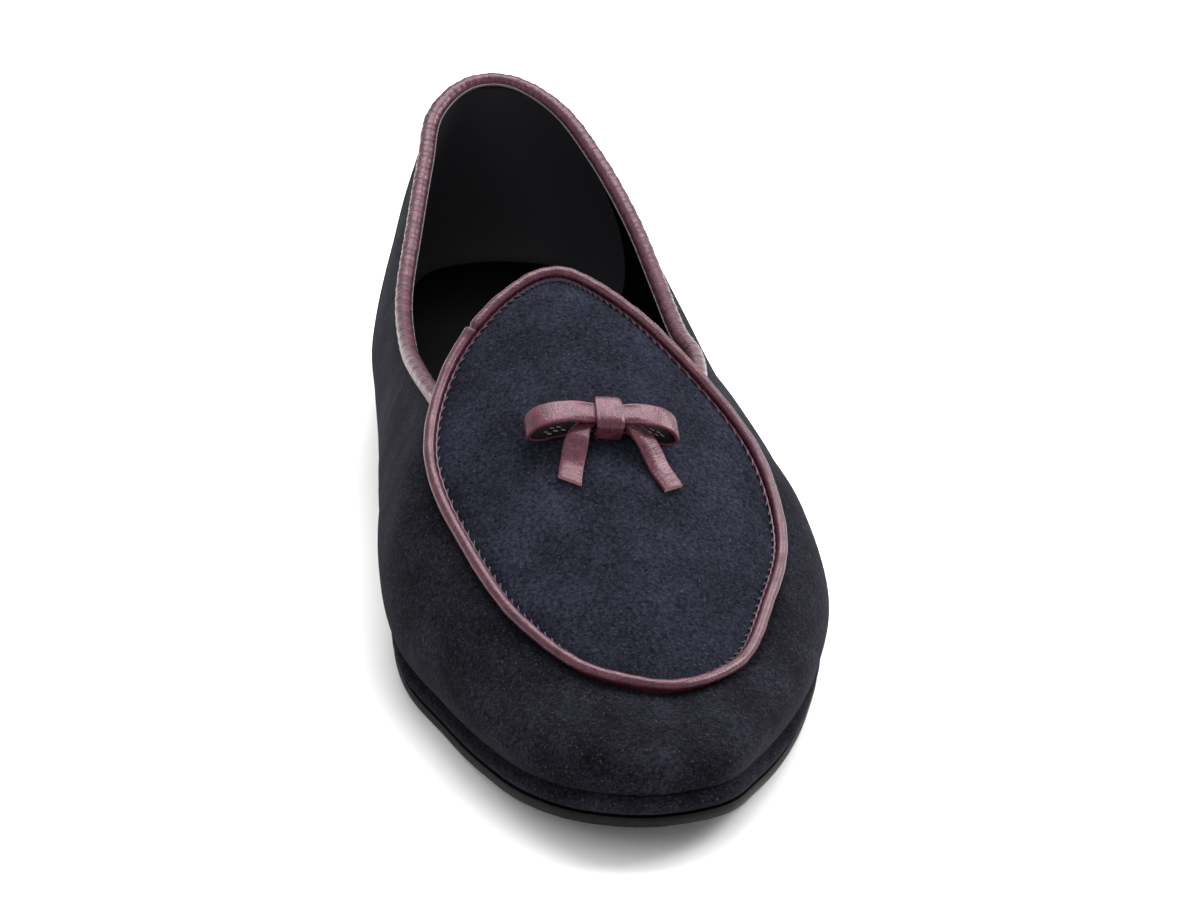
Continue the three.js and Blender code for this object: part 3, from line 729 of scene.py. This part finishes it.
# The face runs from its rim to a spine along its middle, and closer rows near the rim shape the seam.
spine_share = 0.11 + 0.28 * (1 - np.abs(1 - 2 * round_shares))
spine = (beside(plug_seam, spine_share)[0] + beside(plug_seam, 1 - spine_share)[0]) / 2
inwards = np.linspace(0, 1, 49) ** 1.5
plug_level = plug_rim[:, None] + inwards[None, :, None] * (spine - plug_rim)[:, None]
plug_face, out_of_plug = on_crown(plug_level)
rim_gap = np.linalg.norm(plug_face - plug_face[:, :1], axis=-1)
edge_dip = -0.55 * mm * np.exp(-rim_gap / (0.9 * mm))
edge_swell = 0.35 * mm * trough(rim_gap, 4.5 * mm, 3.2 * mm)
stitch_pulls = 0.07 * mm * wave(felling_count * round_shares)[:, None]
stitch_pulls = stitch_pulls * trough(rim_gap, 1.6 * mm, 1.2 * mm)
plug_relief = edge_dip + edge_swell + stitch_pulls
plug_top = plug_face + plug_relief[..., None] * out_of_plug
plug_below = plug_face - wall * out_of_plug
plug_edge = plug_top[:, :1] * (1 - across_wall) + plug_below[:, :1] * across_wall
plug_grids = [plug_top, plug_below, plug_edge]
plug = surface("suede_plug", plug_grids, [plug_suede, black_lining_and_painted_shade], sorts=[0, 1, 0])
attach(plug, "root")
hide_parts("plug")

# The plug's piping: a strip of burgundy leather folded over a cord and caught in the seam all round the
# plug. Its ends meet on the inner side of the tongue, and a fine dark thread fells it to the plug.

piping_width = 2.7 * mm
piping_height = 2.3 * mm
piping_stem = -0.9 * wall
join_share = 0.885
join_width = 0.0016
felling_length = 1.7 * mm
felling_radius = 0.17 * mm


def glazed_leather(name, tone, deep, wrinkle=0.6, creases=(420, 1500), grain=0.6):
    """Glazed leather whose tone deepens in soft patches.

    Creases follow the piece's UV map, so many to a metre round the strip's section and along the strip.
    Pores come from Object coordinates. Both raise the surface, by wrinkle and by grain, and both paint the
    tone darker in their hollows and lighter on what stands up, as painted shade and painted highlight.
    What stands up between the creases shines more.
    """
    glaze = {"Specular_Tint": (1.0, 0.70, 0.80, 1), "Coat_Weight": 0.10, "Coat_Roughness": 0.15}
    material, tree, shader = blank(name, Specular_IOR_Level=0.42, **glaze)
    coordinates = tree.nodes.new("ShaderNodeTexCoord").outputs
    patches = noise(tree, coordinates["Object"], 260, detail=4)
    pores = noise(tree, coordinates["Object"], 2400, detail=2)
    creased = noise(tree, coordinates["UV"], (creases[1], creases[0], 1), detail=3, roughness=0.6)
    color = ramp(tree, patches, (0.3, deep), (0.68, tone))
    # Painted shade in the pores and creases and painted highlight on what stands between them.
    wear_and_pore_shade = ramp(tree, pores, (0.36, (0.62, 0.60, 0.61)), (0.64, (1.3, 1.3, 1.3)))
    crease_shade_and_highlight = ramp(tree, creased, (0.38, (0.66, 0.64, 0.65)), (0.60, (1.15, 1.15, 1.15)))
    shaded = multiplied(tree, multiplied(tree, color, wear_and_pore_shade), crease_shade_and_highlight)
    tree.links.new(shaded, shader.inputs["Base Color"])
    gloss = ramp(tree, creased, (0.3, (0.48, 0.48, 0.48)), (0.66, (0.24, 0.24, 0.24)))
    tree.links.new(gloss, shader.inputs["Roughness"])
    raise_surface(tree, (creased, wrinkle, 0.14 * mm), (pores, grain, 0.16 * mm))
    return material


def swept(point, out, up, section):
    """A section carried along frames: each place plus the section's x along out and its y along up.

    section is either one row of x, y pairs or one such row for every frame.
    """
    section = np.broadcast_to(section, (len(point), *np.shape(section)[-2:]))
    return point[:, None] + section[..., :1] * out[:, None] + section[..., 1:] * up[:, None]


def seam_frames(share):
    """The seam's places on the crown, the way out of the seam, and the way out of the crown.

    The first way is the level one less its part along the second.
    """
    point, normal, level = seam_place(share, 0)
    out = unit(level - (level * normal).sum(axis=-1, keepdims=True) * normal)
    return point, out, normal


burgundy = glazed_leather("burgundy_leather", (0.072, 0.019, 0.031), (0.034, 0.008, 0.014))
seam_shares = np.linspace(0, 1, 1201)
seam_point, seam_out, seam_up = seam_frames(seam_shares)
turns = np.radians(np.linspace(-62, 242, 25))
half_piping = piping_width / 2
bead = np.stack([half_piping * np.cos(turns), clearance + piping_height / 2 * (1 + np.sin(turns))], axis=1)
lip = half_piping + 0.16 * mm
piping_section = np.vstack(
    [
        [(flange / 2, piping_stem), (flange / 2, clearance * 0.5)],
        bead,
        [(-lip * 0.85, 0.5 * mm), (-lip, 0.3 * mm), (-lip, -0.05 * mm)],
        [(-flange / 2, 0), (-flange / 2, piping_stem), (flange / 2, piping_stem)],
    ]
)
piping_section = np.repeat(piping_section[None], len(seam_shares), axis=0)
# The bead varies as the hand drew it and swells to the overlap of its ends. The stitches scallop the lip.
hand = 1 + 0.022 * wave(19 * seam_shares) + 0.018 * wave(47 * seam_shares, 2)
overlap = 1 + 0.16 * smoothstep(seam_shares, join_share - 0.012, join_share - join_width)
overlap -= 0.16 * (seam_shares > join_share - join_width)
overlap -= 0.30 * trough(seam_shares, join_share, join_width)
lip_starts = 2 + len(bead)
piping_section[:, 2:lip_starts] *= (hand * overlap)[:, None, None]
scallop = 0.07 * mm * np.cos(2 * np.pi * felling_count * seam_shares)
piping_section[:, lip_starts : lip_starts + 3, 0] -= scallop[:, None]
piping = surface("plug_piping_strip", [swept(seam_point, seam_out, seam_up, piping_section)], [burgundy])
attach(piping, "root")
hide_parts("plug_piping")


def stitches(point, along, up, length, radius):
    """Short arched stitches: each is a capsule along its own direction that bends down at both ends.

    Going along by the cosine of an angle from 180 to 0 degrees, its middle rises by the angle's sine and
    its round section shrinks to a point at the two ends.
    """
    angle = np.linspace(np.pi, 0, 9)
    turn = np.linspace(0, 2 * np.pi, 9)
    side = np.cross(up, along)
    run = (length / 2 * np.cos(angle))[None, :, None, None] * along[:, None, None]
    arch = (0.8 * radius * np.sin(angle))[None, :, None, None] * up[:, None, None]
    size = radius * np.sin(angle) ** 0.4
    wide = (size[:, None] * np.cos(turn))[None, ..., None] * side[:, None, None]
    high = (size[:, None] * np.sin(turn))[None, ..., None] * up[:, None, None]
    return point[:, None, None] + run + arch + wide + high


def thread(name, tone):
    """Waxed sewing thread of one colour."""
    return blank(name, Base_Color=(*tone, 1), Roughness=0.6)[0]


felling_shares = np.arange(felling_count) / felling_count
felling_point, felling_out, felling_up = seam_frames(felling_shares)
felling_ahead = unit(np.cross(felling_up, felling_out) + 0.45 * felling_out)
felling_foot = felling_point - (lip + 0.25 * mm) * felling_out + 0.1 * mm * felling_up
navy_thread = thread("navy_thread", (0.030, 0.036, 0.075))
felling_grid = stitches(felling_foot, felling_ahead, felling_up, felling_length, felling_radius)
felling = surface("plug_stitches", [felling_grid], [navy_thread])
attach(felling, "root")

# The topline's binding: a strip of the same burgundy leather rolled over the raw top edge of the quarters
# and lining, from one side of the plug round the heel to the other. It is sewn through, and inside the
# shoe the small grey stitches and the lining's skived edge show beside it as a fine pale line.

binding_leather = 0.75 * mm
binding_depth = 2.8 * mm
binding_end = junction_at_edge - 0.001
binding_shares = np.linspace(binding_end, -binding_end, 841) % 1


def collar_frames(share):
    """The middle of the wall's upper edge, with the ways out and up there.

    Up leads from seven eighths of the wall's height to its edge. Out is up crossed with the way along.
    """
    points = wall_lines(share)
    edge, below = cubic(points, np.array([1.0]))[:, 0], cubic(points, np.array([0.875]))[:, 0]
    beside_it = cubic(wall_lines((share + 0.001) % 1), np.array([1.0]))[:, 0]
    up = unit(edge - below)
    ahead = unit(beside_it - edge)
    out = unit(np.cross(up, ahead))
    return edge - wall / 2 * out, out, up


binding_point, binding_out, binding_up = collar_frames(binding_shares)
binding_gap = wall / 2 + clearance
binding_half = binding_gap + binding_leather
binding_top = clearance + binding_leather
fold_turns = np.radians(np.linspace(-68, 218, 33))
roll_middle = -0.28 * binding_depth
roll_wide = 1.06 * binding_half * np.cos(fold_turns)
roll_above, roll_below = 1.12 * binding_top - roll_middle, binding_depth + roll_middle
roll_high = np.where(np.sin(fold_turns) > 0, roll_above, roll_below)
fold = np.stack([roll_wide, roll_middle + roll_high * np.sin(fold_turns)], axis=1)
binding_section = np.vstack(
    [
        [(binding_gap, -0.95 * binding_depth)],
        fold,
        [(-binding_gap, -0.8 * binding_depth), (-binding_gap, clearance), (binding_gap, clearance)],
        [(binding_gap, -0.95 * binding_depth)],
    ]
)
binding_section = np.repeat(binding_section[None], len(binding_shares), axis=0)
# The roll is gathered a little along its way, and flattens over its last 14 mm towards each end.
binding_way = np.cumsum(np.linalg.norm(np.diff(binding_point, axis=0, prepend=binding_point[:1]), axis=1))
gathers = 0.05 * mm * wave(binding_way / (2.3 * mm)) + 0.06 * mm * wave(binding_way / (5.9 * mm), 1)
fold_columns = slice(1, 1 + len(fold))
binding_section[:, fold_columns, 0] += gathers[:, None] * np.cos(fold_turns)
binding_section[:, fold_columns, 1] += gathers[:, None] * np.sin(fold_turns)
ending = smoothstep(np.minimum(binding_way, binding_way[-1] - binding_way), 0, 14 * mm)
binding_section[:, fold_columns] *= np.stack([0.80 + 0.20 * ending, 0.68 + 0.32 * ending], axis=1)[:, None]
binding_grid = swept(binding_point, binding_out, binding_up, binding_section)
binding = surface("topline_binding_strip", [binding_grid], [burgundy])
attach(binding, "root")
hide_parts("topline_binding")

stitch_count = 190
stitch_end = junction_at_edge - 0.006
stitch_shares = np.linspace(stitch_end, -stitch_end, stitch_count) % 1
stitch_point, stitch_out, stitch_up = collar_frames(stitch_shares)
stitch_ahead = unit(np.cross(stitch_out, stitch_up))
inner_stitch = stitch_point - (binding_half + 0.22 * mm) * stitch_out - 0.35 * mm * stitch_up
pale_thread = thread("grey_thread", (0.20, 0.19, 0.19))
stitch_grid = stitches(inner_stitch, stitch_ahead, -stitch_out, 1.2 * mm, 0.09 * mm)
inner_stitches = surface("binding_stitches", [stitch_grid], [pale_thread])
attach(inner_stitches, "root")

# The lining's skived edge: a flat oval strand just below the binding on the inside.
edge_turns = np.linspace(0, 2 * np.pi, 9)
skived_section = np.stack([0.20 * mm * np.cos(edge_turns), 0.35 * mm * np.sin(edge_turns)], axis=1)
skived_foot = binding_point - (binding_half + 0.24 * mm) * binding_out - 0.62 * mm * binding_up
skived_edge = lining_leather("skived_lining_edge", (0.11, 0.105, 0.11), 0.6)
skived_grid = swept(skived_foot, binding_out, binding_up, skived_section)
skived = surface("lining_edge", [skived_grid], [skived_edge])
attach(skived, "root")

# The bow: three pieces of burgundy strap. A closed one is pinched into two loops whose open eyes face the
# toe, a second lies across it inside the loops and turns down into two tails, and a third is wound round
# both as the knot. Small stitches inside the loops hold the bow to the plug.

bow_along = 0.664
bow_off = 2 * mm
bow_turn = np.radians(-1.5)
bow_span = 32.8 * mm
inner_loop_share = 0.535
bow_strap = 5.5 * mm
bow_leather = 1.2 * mm
loop_height = 5.8 * mm
loop_sag = 1.2 * mm
knot_width = 5.4 * mm
knot_leather = 1 * mm
loop_rows = [
    (0, 0.1),
    (0.25, 0.1),
    (0.6, 0.1),
    (0.87, 0.19),
    (0.965, 0.51),
    (0.88, 0.85),
    (0.68, 0.95),
    (0.4, 0.82),
    (0.2, 0.65),
    (0, 0.62),
]
loop_foot = 2 * clearance + knot_leather
strap_face = loop_foot + loop_rows[0][1] * loop_height + bow_leather / 2
tail_foot = strap_face + clearance
pinch = loop_rows[-1][1] * loop_height + bow_leather / 2


def onto_plug(shape):
    """Turns a shape by the bow's angle and bends it onto the plug.

    x runs across the foot, y to the heel from the bow's middle, and z out of the plug.
    """
    x, y = shape[..., 0], shape[..., 1]
    turned_x = x * np.cos(bow_turn) - y * np.sin(bow_turn) + bow_off
    turned_y = x * np.sin(bow_turn) + y * np.cos(bow_turn) + y_of(bow_along)
    point, normal = on_crown(np.stack([turned_x, turned_y], axis=-1))
    return point + shape[..., 2:] * normal


def squared(wave, power):
    """A cosine or sine with its sign kept and its size raised to a power, which squares a circle off."""
    return np.sign(wave) * np.abs(wave) ** power


def strap_section(width, thickness, count=28):
    """A strap's section: a rectangle with rounded corners, from cosine and sine to the power of 0.4."""
    turn = np.linspace(0, 2 * np.pi, count + 1)
    wide, thick = squared(np.cos(turn), 0.4), squared(np.sin(turn), 0.4)
    return np.stack([width / 2 * wide, thickness / 2 * thick], axis=1)


def narrowed(section, width_share):
    """One section per frame, as wide as that frame's share of the full width."""
    return section[None] * np.stack([width_share, np.ones_like(width_share)], axis=1)[:, None]


def thickened(section, rise):
    """Sections whose points are moved by rise along the strap's thickness."""
    return section + np.stack([np.zeros_like(rise), rise], axis=-1)


bow_tones = (0.090, 0.022, 0.037), (0.050, 0.012, 0.020)
grained = glazed_leather("bow_leather", *bow_tones, wrinkle=0.9, creases=(700, 2300), grain=0.5)
loop_line = [(x, loop_foot + up * loop_height - loop_sag * x**2) for x, up in loop_rows]
loop_side = [(x * (1 - inner_loop_share) * bow_span, 0, z) for x, z in loop_line]
other_side = [(-x * inner_loop_share * bow_span, 0, z) for x, z in reversed(loop_line[1:-1])]
loop_path = smooth_line(loop_side + other_side, closed=True)
loop_shares = np.linspace(0, 1, 361)
loop_middle = loop_path(loop_shares)
loop_ahead = unit(loop_path(loop_shares + 1e-4) - loop_path(loop_shares - 1e-4))
loop_thick = np.stack([loop_ahead[:, 2], 0 * loop_ahead[:, 0], -loop_ahead[:, 0]], axis=1)
gather = 1 - 0.16 * trough(loop_middle[:, 0], 0, 5 * mm)
loop_section = narrowed(strap_section(bow_strap, bow_leather), gather)
pleats = 0.14 * mm * wave(loop_section[..., 0] / (1.9 * mm))
pleats = pleats * trough(np.abs(loop_middle[:, 0]), 4.5 * mm, 2.6 * mm)[:, None]
loop_section = thickened(loop_section, pleats)
along_foot = np.broadcast_to([0.0, 1.0, 0.0], loop_middle.shape)
# Near black on the inner faces of the loops: painted shade inside the loops.
painted_loop_shade = lining_leather("loop_inside_painted_shade", (0.0045, 0.0022, 0.0028), 0.8, gloss=0.08)
strap = onto_plug(swept(loop_middle, along_foot, loop_thick, loop_section))
inside_from, inside_to = 15, 27
strap_faces = [strap[:, : inside_from + 1], strap[:, inside_from : inside_to + 1], strap[:, inside_to:]]
loops = surface("bow_loop_strap", strap_faces, [grained, painted_loop_shade], sorts=[0, 1, 0])
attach(loops, "root")
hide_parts("bow_loops")

# The tails: one strap's ends, sideways through the loops and then down onto the plug, cut on the slant so
# that the leather's paler inside shows. Each curve's bend and end are in strap widths from the bow's middle.
tail_rows = [
    {"bend": (-1.2, 0.2), "end": (-1.73, -2.6), "slant": 0.42, "ridge": 0.12},
    {"bend": (0.95, 0.2), "end": (2.5, -2.52), "slant": -0.10, "ridge": 0.62},
]
tail_steps = np.linspace(0, 1, 73)
tail_grids = []
for tail in tail_rows:
    bend, end = (np.array([*tail[name], 0]) * bow_strap for name in ("bend", "end"))
    s = tail_steps[:, None]
    tail_middle = 2 * s * (1 - s) * bend + s**2 * end
    tail_ahead = unit(2 * (1 - s) * bend + 2 * s * (end - bend))
    tail_across = np.stack([-tail_ahead[:, 1], tail_ahead[:, 0], 0 * tail_ahead[:, 0]], axis=1)
    tail_width = 0.5 + 0.5 * smoothstep(tail_steps, 0.3, 0.75)
    lift = tail_foot + (clearance - tail_foot) * smoothstep(tail_steps, 0.58, 0.88)
    tail_middle[:, 2] = lift + bow_leather / 2
    section = narrowed(strap_section(bow_strap, bow_leather), tail_width)
    share_across = section[..., 0] / (bow_strap / 2)
    upper_half = smoothstep(section[..., 1], -0.2 * bow_leather, 0.4 * bow_leather)
    fold_line = tail["ridge"] * mm * trough(share_across, -0.35, 0.28) * upper_half
    ripples = 0.018 * mm * wave(22 * tail_steps)[:, None] * upper_half
    section = thickened(section, fold_line + ripples)
    upwards = np.broadcast_to([0.0, 0.0, 1.0], tail_middle.shape)
    slanted = smoothstep(tail_steps, 0.6, 1)[:, None] * section[..., 0] * tail["slant"]
    grid = swept(tail_middle, tail_across, upwards, section) + slanted[..., None] * tail_ahead[:, None]
    tail_grids.append(onto_plug(grid))
closing = np.linspace(0, 1, 4)[:, None, None]
tail_ends = [
    grid[row][None] * (1 - closing) + grid[row].mean(axis=0) * closing
    for grid in tail_grids
    for row in (0, -1)
]
cut_leather = lining_leather("cut_leather", (0.26, 0.13, 0.13), 0.75)
tail_sorts = [0, 0, 1, 1, 1, 1]
tails = surface("bow_tail_strap", tail_grids + tail_ends, [grained, cut_leather], tail_sorts, corner=50)
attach(tails, "root")
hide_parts("bow_tails")

# The knot: a short strap wound once round loops and tails, with pulls along its winding.
knot_half = bow_strap / 2 + 2 * clearance + knot_leather / 2
knot_low = clearance + knot_leather / 2
knot_high = loop_foot + pinch + clearance + knot_leather / 2
knot_turn = np.linspace(0, 2 * np.pi, 121)
knot_y = knot_half * squared(np.cos(knot_turn), 0.45)
knot_z = (knot_high + knot_low) / 2 + (knot_high - knot_low) / 2 * squared(np.sin(knot_turn), 0.55)
knot_middle = np.stack([0 * knot_y, knot_y, knot_z], axis=1)
knot_ahead = unit(np.gradient(knot_middle, axis=0))
knot_ahead[[0, -1]] = (0, 0, 1)
knot_out = np.stack([0 * knot_y, knot_ahead[:, 2], -knot_ahead[:, 1]], axis=1)
knot_section = strap_section(knot_width, knot_leather, 64)
pull = 0.05 * mm * wave(knot_section[:, 0] / (1.45 * mm), 0.8)
pull += 0.04 * mm * wave(knot_section[:, 0] / (0.93 * mm))
pull = pull * (0.75 + 0.25 * np.cos(3 * knot_turn))[:, None]
knot_section = thickened(knot_section[None], pull)
knot_section[..., 0] *= (1 - 0.06 * np.cos(knot_turn) - 0.03 * np.cos(2 * knot_turn))[:, None]
across_foot = np.broadcast_to([1.0, 0.0, 0.0], knot_middle.shape)
knot_tones = (0.084, 0.020, 0.034), (0.042, 0.010, 0.017)
pulled = glazed_leather("knot_leather", *knot_tones, wrinkle=1.1, creases=(1900, 380), grain=0.5)
winding = onto_plug(swept(knot_middle, across_foot, knot_out, knot_section))
knot = surface("bow_knot_strap", [winding], [pulled])
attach(knot, "root")
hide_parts("bow_knot")

# The stitches that hold the bow, on the lower strap inside each loop, placed one by one from its middle.
hold_x = np.array([-13.4, -12.7, -12.0, -11.3, -10.5, -9.6, 9.3, 10.0, 10.8, 11.5, 12.3]) * mm
hold_y = np.array([-0.9, -1.6, -0.3, -1.3, -0.5, -1.5, -1.2, -0.4, -1.5, -0.6, -1.1]) * mm
hold_z = strap_face - loop_sag * (hold_x / (bow_span / 2)) ** 2
hold_point, hold_up = on_crown(np.stack([hold_x + bow_off, hold_y + y_of(bow_along)], axis=1))
hold_ahead = unit(np.cross(hold_up, [0.3, 1.0, 0.0]))
hold_foot = hold_point + (hold_z + 0.05 * mm)[:, None] * hold_up
hold_grid = stitches(hold_foot, hold_ahead, hold_up, 1.1 * mm, 0.12 * mm)
# The thread here is pale grey partly as painted glints: the stitches also stand in for the light glints
# inside the loops.
hold_stitches_and_glints = surface("bow_stitches_and_painted_glints", [hold_grid], [pale_thread])
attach(hold_stitches_and_glints, "root")

# Floor, light and camera: a white paper sweep in an even white surround, with a wide light overhead, one
# on the right and a weak one on the left in front. The camera stands where the photograph's stood.

floor_half = 4.0
sweep_start, sweep_radius, sweep_top = 1.6, 1.2, 3.0
sweep_angle = np.linspace(0, np.pi / 2, 25)
sweep_y = sweep_start + sweep_radius * np.sin(sweep_angle)
floor_y = np.concatenate([[-floor_half], sweep_y, sweep_y[-1:]])
floor_z = np.concatenate([[0], sweep_radius * (1 - np.cos(sweep_angle)), [sweep_top]])
floor_x = np.linspace(-floor_half, floor_half, 3)
floor_grid = np.stack(np.broadcast_arrays(floor_x[None], floor_y[:, None], floor_z[:, None]), axis=-1)
paper = {"Base_Color": (0.90, 0.895, 0.89, 1), "Roughness": 0.9, "Specular_IOR_Level": 0.1}
floor = surface("floor", [floor_grid], [blank("white_paper", **paper)[0]])

scene = bpy.context.scene
scene.view_settings.view_transform = "Standard"
world = bpy.data.worlds.new("surround")
world.use_nodes = True
surround = world.node_tree.nodes["Background"].inputs
surround["Color"].default_value = (1, 1, 1, 1)
surround["Strength"].default_value = 0.85
scene.world = world

shoe_middle = np.array([2 * mm, -110 * mm, 25 * mm])


def stand(name, data, place, up, away):
    """Stands a light or camera at a place with its back to away and its top towards up."""
    right = unit(np.cross(up, away))
    turned = Matrix(np.stack([right, np.cross(away, right), away], axis=1).tolist()).to_4x4()
    turned.translation = place
    holder = bpy.data.objects.new(name, data)
    holder.matrix_world = turned
    scene.collection.objects.link(holder)
    return holder


def softbox(name, place, width, height, power):
    """A rectangular light that faces the middle of the shoe."""
    light = bpy.data.lights.new(name, "AREA")
    light.shape = "RECTANGLE"
    light.size, light.size_y, light.energy = width, height, power
    stand(name, light, place, [0.0, 1.0, 0.001], unit(np.array(place) - shoe_middle))


softbox("overhead", (0.15, 0.45, 1.45), 1.2, 1.0, 30)
softbox("front_left", (-0.9, -1.1, 0.9), 0.6, 0.6, 3)
softbox("right", (1.0, 0.1, 0.8), 0.5, 0.8, 14)

# The photograph's camera, with its focal length in pixels of the 1200 by 900 frame. The shoe stands right
# of the middle there, so the view is turned to it and enlarged a little.
camera_place = np.array([-159.7, -1165.3, 516.2]) * mm
photo_forward = np.array([0.0967, 0.9045, -0.4154])
photo_up = np.array([0.0442, 0.4131, 0.9096])
photo_width, photo_height = 1200, 900
photo_focal = 4094.4
shoe_pixel = (793, 441)
enlarged = 1.2
photo_right = np.cross(photo_forward, photo_up)
right_of_middle = (shoe_pixel[0] - photo_width / 2) / photo_focal
over_middle = (photo_height / 2 - shoe_pixel[1]) / photo_focal
view_back = -unit(photo_forward + right_of_middle * photo_right + over_middle * photo_up)
lens = bpy.data.cameras.new("camera")
lens.sensor_width = 36
lens.lens = lens.sensor_width * enlarged * photo_focal / photo_width
lens.clip_start = 0.05
scene.camera = stand("camera", lens, camera_place, photo_up, view_back)
